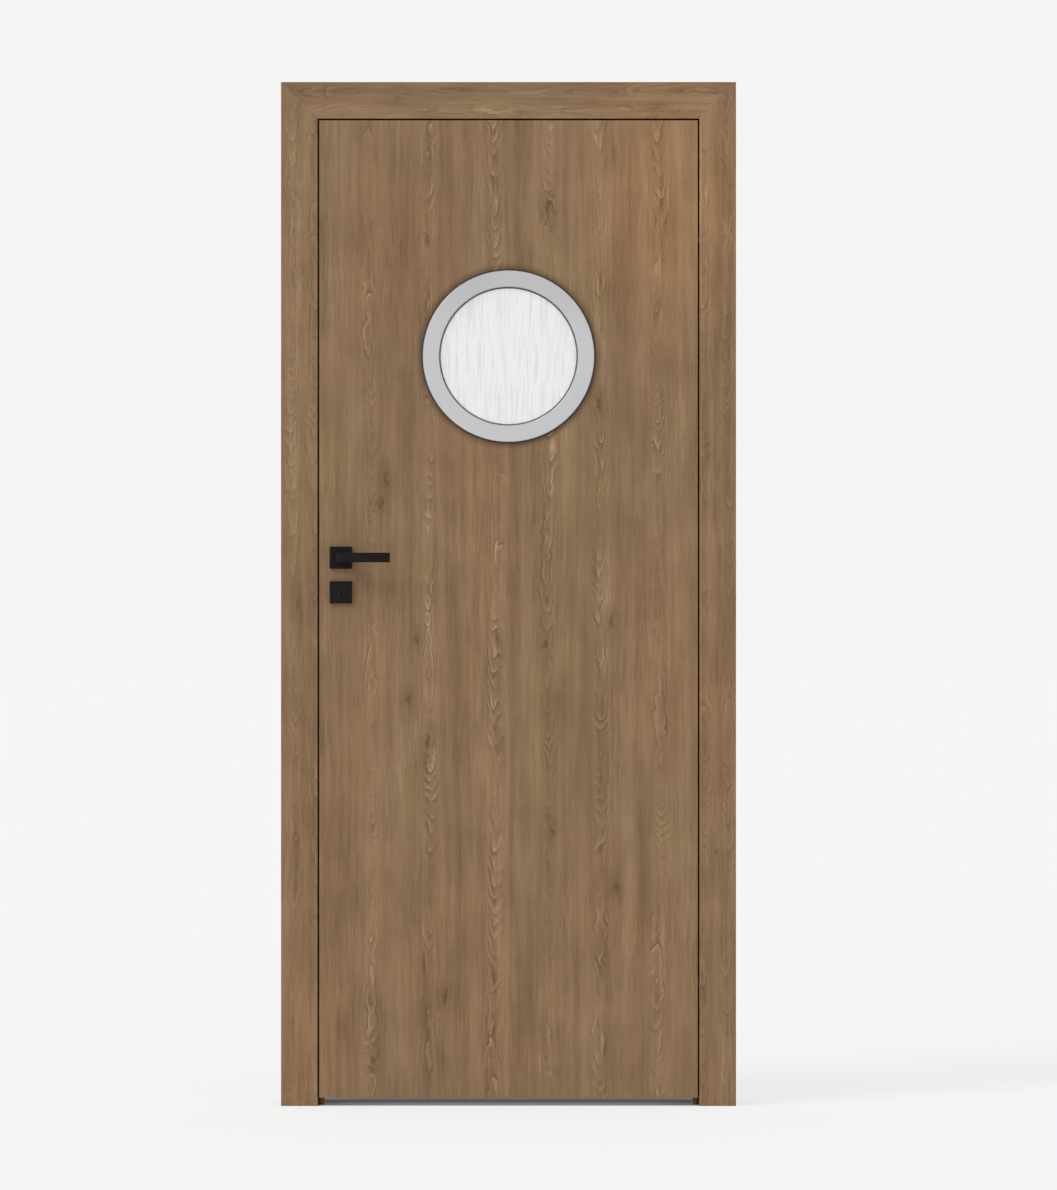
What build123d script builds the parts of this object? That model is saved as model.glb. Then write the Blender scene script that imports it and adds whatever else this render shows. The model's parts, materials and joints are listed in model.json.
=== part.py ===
"""Flush interior door set with a round glazed opening, hung on concealed link hinges.

Millimetres, +Z up, +X towards the hinge side, +Y into the wall. The origin lies on the floor,
in the middle of the doorway and of the wall. A depth is measured from the front face inwards.
"""
import os
from math import cos, radians, sin

from build123d import *

# Leaf and doorway
leaf_width = 786.0
leaf_height = 2030.0
leaf_thickness = 40.0
leaf_gap = 3.5
floor_gap = 17.0
wall_thickness = 100.0

# Frame members
jamb_thickness = 32.0
stop_height = 12.0
architrave_width = 76.0
architrave_thickness = 16.0
architrave_edge_radius = 1.2
tongue_thickness = 6.0
tongue_length = 22.0
tongue_offset = 20.0
groove_clearance = 0.2
seal_gap = 4.0
seal_width = 8.0
seal_offset = 6.0
seal_leaf_clearance = 0.3
seal_stem_thickness = 3.0
seal_stem_depth = 5.0

# Leaf build-up
skin_thickness = 3.0
skin_edge_chamfer = 0.8
stile_width = 40.0
rail_height = 45.0
core_tube_radius = 12.0
core_tube_pitch = 32.0
core_block_margin = 30.0

# Fits
fit_clearance = 0.08
running_clearance = 0.08
slide_clearance = 0.2

# Round opening
porthole_height = 1557.0
ring_outer_radius = 178.0
ring_face_width = 34.0
ring_flange_thickness = 5.0
ring_edge_chamfer = 1.2
ring_leaf_overlap = 16.0
front_sleeve_wall = 3.0
front_sleeve_length = 25.0
back_sleeve_step = 4.0
back_sleeve_wall = 4.0
glass_thickness = 4.0
glass_depth = 2.0
glass_edge_clearance = 1.0
glass_gasket_show = 3.0
back_gasket_thickness = 2.0
flange_gasket_thickness = 1.0
flange_gasket_show = 3.0
flange_gasket_width = 7.5
porthole_bore_clearance = 0.5
porthole_screw_count = 6
porthole_screw_bite = 3.5

# Lock
backset = 45.0
handle_height = 1138.7
key_drop = 72.0
forend_thickness = 3.0
forend_width = 20.0
forend_height = 235.0
forend_screw_inset = 12.0
case_length = 66.0
case_thickness = 15.0
case_wall = 1.5
case_end_margin = 40.0
lock_pocket_clearance = 0.5
follower_radius = 11.5
follower_collar_radius = 8.0
latch_height = 16.0
latch_thickness = 11.0
latch_length = 26.0
latch_nose_radius = 2.5
latch_throw = 11.0
bolt_height = 24.0
bolt_thickness = 9.0
bolt_length = 36.0
bolt_throw = 14.0
bolt_rise = 22.0
bolt_set_back = 0.1
strike_thickness = 2.5
strike_height = 180.0
strike_screw_inset = 10.0
strike_play = 1.5
strike_pocket_spare = 3.0
leaf_bore_radius = 10.0
keyhole_radius = 3.6
keyhole_slot_width = 4.2
keyhole_slot_length = 10.0

# Roses and levers
rose_size = 46.0
rose_depth = 9.0
rose_wall = 1.6
rose_corner_radius = 1.5
rose_edge_chamfer = 0.8
rose_base_thickness = 5.0
rose_base_clearance = 0.25
rose_bolt_offset = 15.5
rose_bolt_bore_clearance = 0.5
rose_bolt_short = 1.0
lever_hub_radius = 9.0
lever_hub_set_back = 0.5
lever_hub_clearance = 0.2
lever_neck_width = 18.0
lever_height = 20.0
lever_thickness = 9.0
lever_reach = 103.0
lever_standoff = 58.0
lever_rose_gap = 0.6
lever_inner_radius = 6.0
lever_outer_radius = 8.0
lever_edge_radius = 0.8
spindle_size = 8.0
spindle_insert = 30.0
spindle_end_gap = 1.0

# Screws
wood_screw_radius = 2.0
wood_screw_length = 30.0
wood_screw_head_radius = 3.8
wood_screw_head_height = 2.2
corner_screw_radius = 2.5
corner_screw_length = 60.0
corner_screw_head_radius = 4.8
corner_screw_head_height = 2.8
corner_screw_depths = (52.0, 68.0)
corner_screw_rise = 12.0
machine_screw_radius = 2.0
machine_screw_head_radius = 3.8
machine_screw_head_height = 2.0
screw_tip_length = 4.0
machine_tip_length = 0.6
socket_radius_share = 0.45
socket_depth_share = 0.7

# Concealed hinges
hinge_inset = 240.0
swing_limit = 110.0
housing_lip = 3.5
housing_height = 112.0
housing_depth = 17.0
housing_wall = 2.0
housing_screw_inset = 13.0
mortise_clearance = 0.1
layer_height = 12.0
layer_count = 4
layer_gap = 0.2
main_pin_radius = 2.2
main_eye_radius = 4.2
main_pin_setback = 6.25
link_pin_radius = 1.5
link_eye_radius = 2.8
link_pin_offset = 3.0
eye_clearance = 0.3
arm_rise = 14.0
arm_half_width = 3.2
elbow_reach = 11.5
elbow_open_angle = 185.0
pin_seat = 8.0

# Positions that follow from the sizes
frame_depth = wall_thickness + 2 * architrave_thickness
front_y = -frame_depth / 2
leaf_half = leaf_width / 2
leaf_top = floor_gap + leaf_height
leaf_middle = leaf_thickness / 2
opening_half = leaf_half + leaf_gap
opening_top = leaf_top + leaf_gap
stop_depth = leaf_thickness + seal_gap
wall_back = architrave_thickness + wall_thickness
skin_back = leaf_thickness - skin_thickness
hinge_x = leaf_half + leaf_gap / 2
hinge_heights = (floor_gap + hinge_inset, leaf_top - hinge_inset)
handle_x = -leaf_half + backset
key_height = handle_height - key_drop
lock_middle = (handle_height + key_height) / 2
bolt_height_middle = key_height + bolt_rise
lock_front = -leaf_half + forend_thickness
case_back = lock_front + case_length
case_low = key_height - case_end_margin
case_high = handle_height + case_end_margin
case_front_depth = leaf_middle - case_thickness / 2
case_back_depth = leaf_middle + case_thickness / 2
ring_sight_radius = ring_outer_radius - ring_face_width
front_sleeve_radius = ring_outer_radius - ring_leaf_overlap
back_sleeve_radius = ring_sight_radius + back_sleeve_step + back_sleeve_wall
porthole_screw_circle = (ring_outer_radius + front_sleeve_radius) / 2
leaf_mirror = Plane(origin=(0, front_y + leaf_middle, 0), z_dir=(0, 1, 0))
hinge_mirror = Plane(origin=(hinge_x, 0, 0), z_dir=(1, 0, 0))


def group(parts):
    """One node made of separate solids."""
    return Compound([solid for part in parts for solid in part.solids()])


def cut(part, tools):
    """Part with every tool taken away."""
    for tool in tools:
        part = part - tool
    return part


def block(x_pair, depth_pair, z_pair):
    """Rectangular block between two x values, two depths and two heights."""
    x0, x1 = x_pair
    d0, d1 = depth_pair
    z0, z1 = z_pair
    middle = Pos((x0 + x1) / 2, front_y + (d0 + d1) / 2, (z0 + z1) / 2)
    return middle * Box(x1 - x0, d1 - d0, z1 - z0)


def cross_bar(x, z, depth_pair, radius):
    """Round bar through the thickness of the leaf."""
    d0, d1 = depth_pair
    return Pos(x, front_y + (d0 + d1) / 2, z) * Rot(90, 0, 0) * Cylinder(radius, d1 - d0)


def section(points):
    """Closed flat section through the given points."""
    return make_face(Polyline(*points, close=True))


def rectangle(n_pair, depth_pair):
    """Flat rectangle between two distances from the doorway face and two depths."""
    n0, n1 = n_pair
    d0, d1 = depth_pair
    return section([(n0, d0), (n1, d0), (n1, d1), (n0, d1)])


# Frame


def mitre_wedge():
    """Wedge over the doorway whose sides are the two mitre planes of the head."""
    reach = opening_half + architrave_width + stop_height
    apex = opening_top - opening_half
    plane = Plane(origin=(0, front_y - frame_depth, 0), x_dir=(1, 0, 0), z_dir=(0, -1, 0))
    face = section([(0, apex), (reach, apex + reach), (-reach, apex + reach)])
    return extrude(plane * face, -3 * frame_depth)


MITRE = mitre_wedge()


def upright(profile):
    """Right-hand upright of a frame profile, mitred at its top."""
    length = opening_top + architrave_width
    return extrude(Pos(opening_half, front_y, 0) * profile, length) - MITRE


def left_of(part):
    """The same part on the lock side."""
    return mirror(part, about=Plane.YZ)


def lintel(profile):
    """Head of a frame profile, mitred at both ends."""
    half = opening_half + architrave_width
    plane = Plane(origin=(half, front_y, opening_top), x_dir=(0, 0, 1), z_dir=(-1, 0, 0))
    return extrude(plane * profile, 2 * half) & MITRE


def groove_pair():
    """Distances from the doorway face to both sides of a tongue groove."""
    return (tongue_offset - groove_clearance, tongue_offset + tongue_thickness + groove_clearance)


def jamb_profile():
    """Jamb board section with its two tongue grooves."""
    body = rectangle((0, jamb_thickness), (architrave_thickness, wall_back))
    reach = tongue_length + groove_clearance
    front = rectangle(groove_pair(), (architrave_thickness, architrave_thickness + reach))
    back = rectangle(groove_pair(), (wall_back - reach, wall_back))
    return body - front - back


def stop_profile():
    """Stop board section with the seal groove; it is glued to the jamb board."""
    stop = rectangle((-stop_height, 0), (stop_depth, wall_back))
    half = seal_stem_thickness / 2 + fit_clearance
    stem_end = stop_depth + seal_stem_depth + fit_clearance
    stem = rectangle((-seal_offset - half, -seal_offset + half), (stop_depth, stem_end))
    return stop - stem


def architrave_profile(inner, face_depth, wall_depth, tongue_end):
    """Architrave board with its tongue; the long edges of the shown face are eased."""
    board = rectangle((inner, inner + architrave_width), (face_depth, wall_depth))
    shown = [v for v in board.vertices() if abs(v.Y - face_depth) < architrave_edge_radius]
    board = fillet(shown, architrave_edge_radius)
    tongue = rectangle((tongue_offset, tongue_offset + tongue_thickness), (wall_depth, tongue_end))
    return board + tongue


def front_architrave_profile():
    """Board flush with the leaf, lined up with the doorway face."""
    end = architrave_thickness + tongue_length
    return architrave_profile(0, 0, architrave_thickness, end)


def back_architrave_profile():
    """Board behind the wall, lined up with the inner face of the stop."""
    return architrave_profile(-stop_height, frame_depth, wall_back, wall_back - tongue_length)


def seal_profile():
    """Rounded lip on a stem that sits in the stop."""
    half = seal_width / 2
    crown = stop_depth - (seal_gap - seal_leaf_clearance)
    left = (-seal_offset - half, stop_depth)
    right = (-seal_offset + half, stop_depth)
    lip = make_face([ThreePointArc(left, (-seal_offset, crown), right), Line(right, left)])
    stem_half = seal_stem_thickness / 2
    stem_pair = (-seal_offset - stem_half, -seal_offset + stem_half)
    return lip + rectangle(stem_pair, (stop_depth, stop_depth + seal_stem_depth))


# Screws


def screw_body(sizes, tip_length, clearance):
    """Turned countersunk screw along -Z with its head level with z = 0."""
    radius, length, head_radius, head_height = sizes
    points = [
        (0, 0),
        (head_radius + clearance, 0),
        (radius + clearance, -head_height),
        (radius + clearance, tip_length - length - clearance),
        (0, -length - clearance),
    ]
    return revolve(Plane.XZ * section(points), axis=Axis.Z)


def screw(sizes, tip_length):
    """Countersunk screw with a hexagon socket."""
    radius, length, head_radius, head_height = sizes
    socket = RegularPolygon(head_radius * socket_radius_share, 6)
    return screw_body(sizes, tip_length, 0) - extrude(socket, -head_height * socket_depth_share)


WOOD_SCREW = (wood_screw_radius, wood_screw_length, wood_screw_head_radius, wood_screw_head_height)
CORNER_SCREW = (
    corner_screw_radius,
    corner_screw_length,
    corner_screw_head_radius,
    corner_screw_head_height,
)


def machine_screw_sizes(length):
    """Sizes of a machine screw of the given length."""
    return (machine_screw_radius, length, machine_screw_head_radius, machine_screw_head_height)


def facing(x, depth, z, direction):
    """Place on a face at a depth; local Z points out of the face."""
    return Plane(origin=(x, front_y + depth, z), z_dir=direction)


def hinge_screw_heights():
    """Heights of the screws in both hinges."""
    reach = housing_height / 2 - housing_screw_inset
    return [z + side * reach for z in hinge_heights for side in (-1, 1)]


def strike_screw_heights():
    """Heights of the strike plate screws."""
    reach = strike_height / 2 - strike_screw_inset
    return [lock_middle - reach, lock_middle + reach]


def forend_screw_heights():
    """Heights of the forend screws."""
    reach = forend_height / 2 - forend_screw_inset
    return [lock_middle - reach, lock_middle + reach]


def frame_screw_places():
    """Places of the wood screws in the hinge jamb and in the lock jamb."""
    hinge = [facing(opening_half, leaf_middle, z, (-1, 0, 0)) for z in hinge_screw_heights()]
    strike = [facing(-opening_half, leaf_middle, z, (1, 0, 0)) for z in strike_screw_heights()]
    return hinge, strike


def leaf_screw_places():
    """Places of the wood screws in the hinge stile and in the lock stile."""
    hinge = [facing(leaf_half, leaf_middle, z, (1, 0, 0)) for z in hinge_screw_heights()]
    forend = [facing(-leaf_half, leaf_middle, z, (-1, 0, 0)) for z in forend_screw_heights()]
    return hinge, forend


def corner_screw_places(side):
    """Places of the screws through one jamb into the head."""
    x = side * (opening_half + jamb_thickness)
    z = opening_top + corner_screw_rise
    return [facing(x, depth, z, (side, 0, 0)) for depth in corner_screw_depths]


def wood_screw_holes(places):
    """Holes for wood screws."""
    hole = screw_body(WOOD_SCREW, screw_tip_length, fit_clearance)
    return [place * hole for place in places]


def corner_screw_holes(side):
    """Holes for the corner screws of one side."""
    hole = screw_body(CORNER_SCREW, screw_tip_length, fit_clearance)
    return [place * hole for place in corner_screw_places(side)]


# Hinges


def pin_layout():
    """Flat places of the hinge pins on the frame side, from the middle of the gap."""
    a = leaf_gap / 2 + main_pin_setback
    pocket_front = housing_lip + housing_wall
    f_depth = pocket_front + eye_clearance + main_eye_radius
    c_depth = f_depth + arm_rise
    link_depth = leaf_thickness - pocket_front - eye_clearance - link_eye_radius
    lift = link_depth - c_depth
    angle = radians(elbow_open_angle - swing_limit)
    elbow = (a + elbow_reach * cos(angle), f_depth + elbow_reach * sin(angle))
    return {
        "fixed": (a, f_depth),
        "elbow": elbow,
        "centre": (0, c_depth),
        "arm_link": (link_pin_offset, link_depth),
        "fixed_link": (a - link_pin_offset, f_depth + lift),
        "far_link": (-link_pin_offset, link_depth),
    }


PINS = pin_layout()


def strap(start, start_radius, end, end_radius):
    """Flat bar whose outline is drawn tight round two circles."""
    first = Pos(*start) * Circle(start_radius)
    second = Pos(*end) * Circle(end_radius)
    return make_hull([*first.edges(), *second.edges()])


def layer_pair(z, layer):
    """Lower and upper height of one layer of the hinge, less the running gap."""
    low = z - layer_count * layer_height / 2 + layer * layer_height
    return (low + layer_gap, low + layer_height - layer_gap)


def lift_face(face, z_pair):
    """Flat hinge shape made solid between two heights."""
    return extrude(Pos(hinge_x, front_y, z_pair[0]) * face, z_pair[1] - z_pair[0])


def pin(place, z_pair, radius):
    """Upright hinge pin."""
    return lift_face(Pos(*place) * Circle(radius), z_pair)


def hole(place, radius):
    """Flat round hole in a hinge bar."""
    return Pos(*place) * Circle(radius)


def main_arm_face(centre_clearance):
    """Cranked main arm, pinned at its fixed end, its centre and its link end."""
    bar = strap(PINS["fixed"], main_eye_radius, PINS["elbow"], arm_half_width)
    bar = bar + strap(PINS["elbow"], arm_half_width, PINS["centre"], main_eye_radius)
    bar = bar + strap(PINS["centre"], main_eye_radius, PINS["arm_link"], link_eye_radius)
    bar = bar - hole(PINS["fixed"], main_pin_radius + running_clearance)
    bar = bar - hole(PINS["centre"], main_pin_radius + centre_clearance)
    return bar - hole(PINS["arm_link"], link_pin_radius + fit_clearance)


def link_face():
    """Short link that keeps the far main arm parallel to the frame."""
    bar = strap(PINS["fixed_link"], link_eye_radius, PINS["far_link"], link_eye_radius)
    bar = bar - hole(PINS["fixed_link"], link_pin_radius + running_clearance)
    return bar - hole(PINS["far_link"], link_pin_radius + running_clearance)


def frame_arm(z):
    """Main arm pinned to the frame, in the second layer."""
    return lift_face(main_arm_face(fit_clearance), layer_pair(z, 1))


def leaf_arm(z):
    """Main arm pinned to the leaf, in the third layer."""
    return mirror(lift_face(main_arm_face(running_clearance), layer_pair(z, 2)), about=hinge_mirror)


def frame_link(z):
    """Link pinned to the frame, in the top layer."""
    return lift_face(link_face(), layer_pair(z, 3))


def leaf_link(z):
    """Link pinned to the leaf, in the bottom layer."""
    return mirror(lift_face(link_face(), layer_pair(z, 0)), about=hinge_mirror)


def main_pin(z, radius):
    """Pin through both ends of the frame housing."""
    reach = layer_count * layer_height / 2 + pin_seat
    return pin(PINS["fixed"], (z - reach, z + reach), radius)


def housing_link_pin(z, layer, radius):
    """Short pin from one end of the frame housing through an outer layer."""
    low, high = layer_pair(z, layer)
    reach = layer_count * layer_height / 2 + pin_seat
    pair = (low, z + reach) if layer else (z - reach, high)
    return pin(PINS["fixed_link"], pair, radius)


def arm_pins(z):
    """Pins carried by the frame arm: one to the leaf arm and one to the leaf link."""
    centre = pin(PINS["centre"], (layer_pair(z, 1)[0], layer_pair(z, 2)[1]), main_pin_radius)
    link = pin(PINS["arm_link"], (layer_pair(z, 0)[0], layer_pair(z, 1)[1]), link_pin_radius)
    return group([centre, link])


def far_link_pin(z):
    """Pin carried by the leaf arm, to the frame link."""
    return pin(PINS["far_link"], (layer_pair(z, 2)[0], layer_pair(z, 3)[1]), link_pin_radius)


def housing_shape(z, clearance):
    """Round-ended block let into the frame."""
    plane = Plane(
        origin=(opening_half, front_y + leaf_middle, z), x_dir=(0, 0, 1), z_dir=(1, 0, 0)
    )
    width = leaf_thickness - 2 * housing_lip + 2 * clearance
    face = SlotOverall(housing_height + 2 * clearance, width)
    return extrude(plane * face, housing_depth + clearance)


def housing(z, link_layer):
    """Frame-side housing with its pocket, pin holes and screw holes."""
    pocket_front = housing_lip + housing_wall
    half = layer_count * layer_height / 2
    pocket = block(
        (opening_half, opening_half + housing_depth - housing_wall),
        (pocket_front, leaf_thickness - pocket_front),
        (z - half, z + half),
    )
    reach = housing_height / 2 - housing_screw_inset
    places = [facing(opening_half, leaf_middle, z + side * reach, (-1, 0, 0)) for side in (-1, 1)]
    tools = [pocket, main_pin(z, main_pin_radius + fit_clearance)]
    tools.append(housing_link_pin(z, link_layer, link_pin_radius + fit_clearance))
    return cut(housing_shape(z, 0), tools + wood_screw_holes(places))


def frame_housing(z):
    """Housing in the jamb; its link pin is at the top."""
    return housing(z, layer_count - 1)


def leaf_housing(z):
    """Housing in the leaf; its link pin is at the bottom."""
    return mirror(housing(z, 0), about=hinge_mirror)


def frame_mortises():
    """Pockets for the housings in the jamb and the architrave."""
    return [housing_shape(z, mortise_clearance) for z in hinge_heights]


def leaf_mortises():
    """Pockets for the housings in the hinge stile."""
    return [mirror(shape, about=hinge_mirror) for shape in frame_mortises()]


# Lock side of the frame


def strike_slots(grow, n_pair):
    """Blocks through the strike for the latch and for the bolt."""
    n0, n1 = n_pair
    slots = []
    for middle, height, thickness in (
        (handle_height, latch_height, latch_thickness),
        (bolt_height_middle, bolt_height, bolt_thickness),
    ):
        half = thickness / 2 + grow
        rise = height / 2 + grow
        slots.append(
            block(
                (-opening_half - n1, -opening_half - n0),
                (leaf_middle - half, leaf_middle + half),
                (middle - rise, middle + rise),
            )
        )
    return slots


def strike_block(clearance):
    """Plain strike plate, let in level with the jamb."""
    half = forend_width / 2 + clearance
    rise = strike_height / 2 + clearance
    return block(
        (-opening_half - strike_thickness - clearance, -opening_half),
        (leaf_middle - half, leaf_middle + half),
        (lock_middle - rise, lock_middle + rise),
    )


def strike_plate():
    """Strike plate with its two openings and screw holes."""
    tools = strike_slots(strike_play, (0, strike_thickness))
    return cut(strike_block(0), tools + wood_screw_holes(frame_screw_places()[1]))


def strike_cuts():
    """What the strike takes out of the jamb and the architrave."""
    reach = max(latch_throw, bolt_throw) + strike_pocket_spare
    pockets = strike_slots(strike_play, (0, reach))
    return [strike_block(fit_clearance), *pockets, *wood_screw_holes(frame_screw_places()[1])]


def frame_parts():
    """Nodes of the frame."""
    jamb = upright(jamb_profile())
    stop = upright(stop_profile())
    head = lintel(jamb_profile())
    front = upright(front_architrave_profile())
    back = upright(back_architrave_profile())
    hinge_cuts = frame_mortises() + wood_screw_holes(frame_screw_places()[0])
    corner_left = corner_screw_holes(-1)
    corner_right = corner_screw_holes(1)
    seal = seal_profile()
    seal_side = upright(seal)
    corner_places = corner_screw_places(-1) + corner_screw_places(1)
    wood_places = frame_screw_places()[0] + frame_screw_places()[1]
    housing_pins = [main_pin(z, main_pin_radius) for z in hinge_heights]
    link_pins = [housing_link_pin(z, layer_count - 1, link_pin_radius) for z in hinge_heights]
    return {
        "jamb_lock_side": group([cut(left_of(jamb), strike_cuts() + corner_left), left_of(stop)]),
        "jamb_hinge_side": group([cut(jamb, hinge_cuts + corner_right), stop]),
        "frame_head": group([cut(head, corner_left + corner_right), lintel(stop_profile())]),
        "front_architrave_left": cut(left_of(front), strike_cuts()),
        "front_architrave_right": cut(front, hinge_cuts),
        "front_architrave_head": lintel(front_architrave_profile()),
        "back_architrave_left": left_of(back),
        "back_architrave_right": back,
        "back_architrave_head": lintel(back_architrave_profile()),
        "frame_seal": group([seal_side, left_of(seal_side), lintel(seal)]),
        "strike_plate": strike_plate(),
        "frame_wood_screws": group([p * screw(WOOD_SCREW, screw_tip_length) for p in wood_places]),
        "corner_screws": group([p * screw(CORNER_SCREW, screw_tip_length) for p in corner_places]),
        "hinge_frame_housing_lower": frame_housing(hinge_heights[0]),
        "hinge_frame_housing_upper": frame_housing(hinge_heights[1]),
        "hinge_frame_pins": group(housing_pins + link_pins),
    }


def hinge_moving_parts():
    """Nodes of the arms, the links and the pins they carry."""
    low, high = hinge_heights
    return {
        "hinge_frame_arm_lower": frame_arm(low),
        "hinge_frame_arm_upper": frame_arm(high),
        "hinge_arm_pins": group([arm_pins(z) for z in hinge_heights]),
        "hinge_frame_link_lower": frame_link(low),
        "hinge_frame_link_upper": frame_link(high),
        "hinge_leaf_arm_lower": leaf_arm(low),
        "hinge_leaf_arm_upper": leaf_arm(high),
        "hinge_link_pins": group([far_link_pin(z) for z in hinge_heights]),
        "hinge_leaf_link_lower": leaf_link(low),
        "hinge_leaf_link_upper": leaf_link(high),
    }


def leaf_hinge_parts():
    """Nodes of the hinge fixed to the leaf."""
    main = [mirror(main_pin(z, main_pin_radius), about=hinge_mirror) for z in hinge_heights]
    link = [housing_link_pin(z, 0, link_pin_radius) for z in hinge_heights]
    link = [mirror(part, about=hinge_mirror) for part in link]
    return {
        "hinge_leaf_housing_lower": leaf_housing(hinge_heights[0]),
        "hinge_leaf_housing_upper": leaf_housing(hinge_heights[1]),
        "hinge_leaf_pins": group(main + link),
    }


# Round opening


def turned(points, edge_points=()):
    """Ring turned about the axis of the round opening, with the named edges chamfered."""
    face = section(points)
    for edge_point in edge_points:
        corner = face.vertices().sort_by_distance(edge_point)[0]
        face = chamfer(corner, ring_edge_chamfer)
    return Pos(0, front_y, porthole_height) * revolve(face, axis=Axis.Y)


def flat_ring(inner, outer, depth_pair):
    """Plain flat ring about the axis of the round opening."""
    d0, d1 = depth_pair
    return turned([(inner, d0), (outer, d0), (outer, d1), (inner, d1)])


def porthole_bars(depth_pair, radius):
    """Bars on the screw circle of the round opening."""
    bars = []
    for index in range(porthole_screw_count):
        angle = radians(360 * index / porthole_screw_count)
        x = porthole_screw_circle * sin(angle)
        z = porthole_height + porthole_screw_circle * cos(angle)
        bars.append(cross_bar(x, z, depth_pair, radius))
    return bars


def porthole_screw_places():
    """Places of the ring screws on the back flange."""
    depth = leaf_thickness + flange_gasket_thickness + ring_flange_thickness
    places = []
    for index in range(porthole_screw_count):
        angle = radians(360 * index / porthole_screw_count)
        x = porthole_screw_circle * sin(angle)
        z = porthole_height + porthole_screw_circle * cos(angle)
        places.append(facing(x, depth, z, (0, 1, 0)))
    return places


def front_ring():
    """Shown ring: flange with eased edges, sleeve through the leaf and blind screw holes."""
    face = -flange_gasket_thickness - ring_flange_thickness
    seat = -flange_gasket_thickness
    sleeve_inner = front_sleeve_radius - front_sleeve_wall
    points = [
        (ring_sight_radius, face),
        (ring_outer_radius, face),
        (ring_outer_radius, seat),
        (front_sleeve_radius, seat),
        (front_sleeve_radius, seat + front_sleeve_length),
        (sleeve_inner, seat + front_sleeve_length),
        (sleeve_inner, seat),
        (ring_sight_radius, seat),
    ]
    ring = turned(points, ((ring_sight_radius, face), (ring_outer_radius, face)))
    bite = (seat - porthole_screw_bite - fit_clearance, seat)
    return cut(ring, porthole_bars(bite, machine_screw_radius + fit_clearance))


def back_ring():
    """Back ring: flange and a sleeve that presses the glass against the front ring."""
    seat = leaf_thickness + flange_gasket_thickness
    face = seat + ring_flange_thickness
    inner = back_sleeve_radius - back_sleeve_wall
    sleeve_end = glass_depth + glass_thickness + back_gasket_thickness
    points = [
        (inner, face),
        (ring_outer_radius, face),
        (ring_outer_radius, seat),
        (back_sleeve_radius, seat),
        (back_sleeve_radius, sleeve_end),
        (inner, sleeve_end),
    ]
    ring = turned(points, ((inner, face), (ring_outer_radius, face)))
    body = screw_body(porthole_screw_sizes(), machine_tip_length, fit_clearance)
    return cut(ring, [place * body for place in porthole_screw_places()])


def porthole_screw_sizes():
    """Screw from the back flange into the front flange."""
    length = leaf_thickness + 2 * flange_gasket_thickness + ring_flange_thickness
    return machine_screw_sizes(length + porthole_screw_bite)


def flange_gaskets():
    """Thin rubber rings between the rim of each flange and the leaf."""
    outer = ring_outer_radius + flange_gasket_show
    inner = outer - flange_gasket_width
    front = flat_ring(inner, outer, (-flange_gasket_thickness, 0))
    back = flat_ring(inner, outer, (leaf_thickness, leaf_thickness + flange_gasket_thickness))
    return group([front, back])


def porthole_parts():
    """Nodes of the round opening."""
    glass_radius = front_sleeve_radius - front_sleeve_wall - glass_edge_clearance
    inner = ring_sight_radius - glass_gasket_show
    glass_back = glass_depth + glass_thickness
    glass = cross_bar(0, porthole_height, (glass_depth, glass_back), glass_radius)
    body = screw(porthole_screw_sizes(), machine_tip_length)
    return {
        "porthole_front_ring": front_ring(),
        "porthole_back_ring": back_ring(),
        "porthole_glass": glass,
        "porthole_front_gasket": flat_ring(inner, glass_radius, (-flange_gasket_thickness, glass_depth)),
        "porthole_back_gasket": flat_ring(
            inner, glass_radius, (glass_back, glass_back + back_gasket_thickness)
        ),
        "porthole_flange_gaskets": flange_gaskets(),
        "porthole_screws": group([place * body for place in porthole_screw_places()]),
    }


# Leaf


def rose_bolt_heights():
    """Heights of the through bolts of the handle rose and of the key rose."""
    return [z + side * rose_bolt_offset for z in (handle_height, key_height) for side in (-1, 1)]


def rose_bolt_bars(depth_pair, clearance):
    """Bars for the through bolts of the roses."""
    radius = machine_screw_radius + clearance
    return [cross_bar(handle_x, z, depth_pair, radius) for z in rose_bolt_heights()]


def leaf_bores():
    """Round holes through the whole leaf."""
    through = (0, leaf_thickness)
    bore = front_sleeve_radius + porthole_bore_clearance
    tools = [cross_bar(0, porthole_height, through, bore)]
    tools += porthole_bars(through, machine_screw_radius + rose_bolt_bore_clearance)
    tools += [cross_bar(handle_x, z, through, leaf_bore_radius) for z in (handle_height, key_height)]
    return tools + rose_bolt_bars(through, rose_bolt_bore_clearance)


def lock_cuts():
    """Pocket for the case, recess for the forend and its screw holes."""
    clear = lock_pocket_clearance
    pocket = block(
        (-leaf_half, case_back + clear),
        (case_front_depth - clear, case_back_depth + clear),
        (case_low - clear, case_high + clear),
    )
    return [pocket, forend_block(fit_clearance), *wood_screw_holes(leaf_screw_places()[1])]


def forend_block(clearance):
    """Plain forend plate."""
    half = forend_width / 2 + clearance
    rise = forend_height / 2 + clearance
    return block(
        (-leaf_half, lock_front + clearance),
        (leaf_middle - half, leaf_middle + half),
        (lock_middle - rise, lock_middle + rise),
    )


def core_blocks():
    """Stretches of the core left solid, as pairs of x and z pairs: round the opening and the lock."""
    reach = ring_outer_radius + core_block_margin
    lock_x = (-leaf_half, case_back + core_block_margin)
    lock_z = (lock_middle - forend_height / 2, lock_middle + forend_height / 2)
    return [((-reach, reach), (porthole_height - reach, porthole_height + reach)), (lock_x, lock_z)]


def tube_stretches(x, z_pair):
    """Heights over which the tube at x runs clear of the solid blocks."""
    low, high = z_pair
    stretches = []
    left = x - core_tube_radius
    right = x + core_tube_radius
    crossing = [z for side, z in core_blocks() if side[0] < right and left < side[1]]
    for bottom, top in sorted(crossing):
        stretches.append((low, min(bottom, high)))
        low = top
    return [pair for pair in stretches + [(low, high)] if pair[1] > pair[0]]


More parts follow.
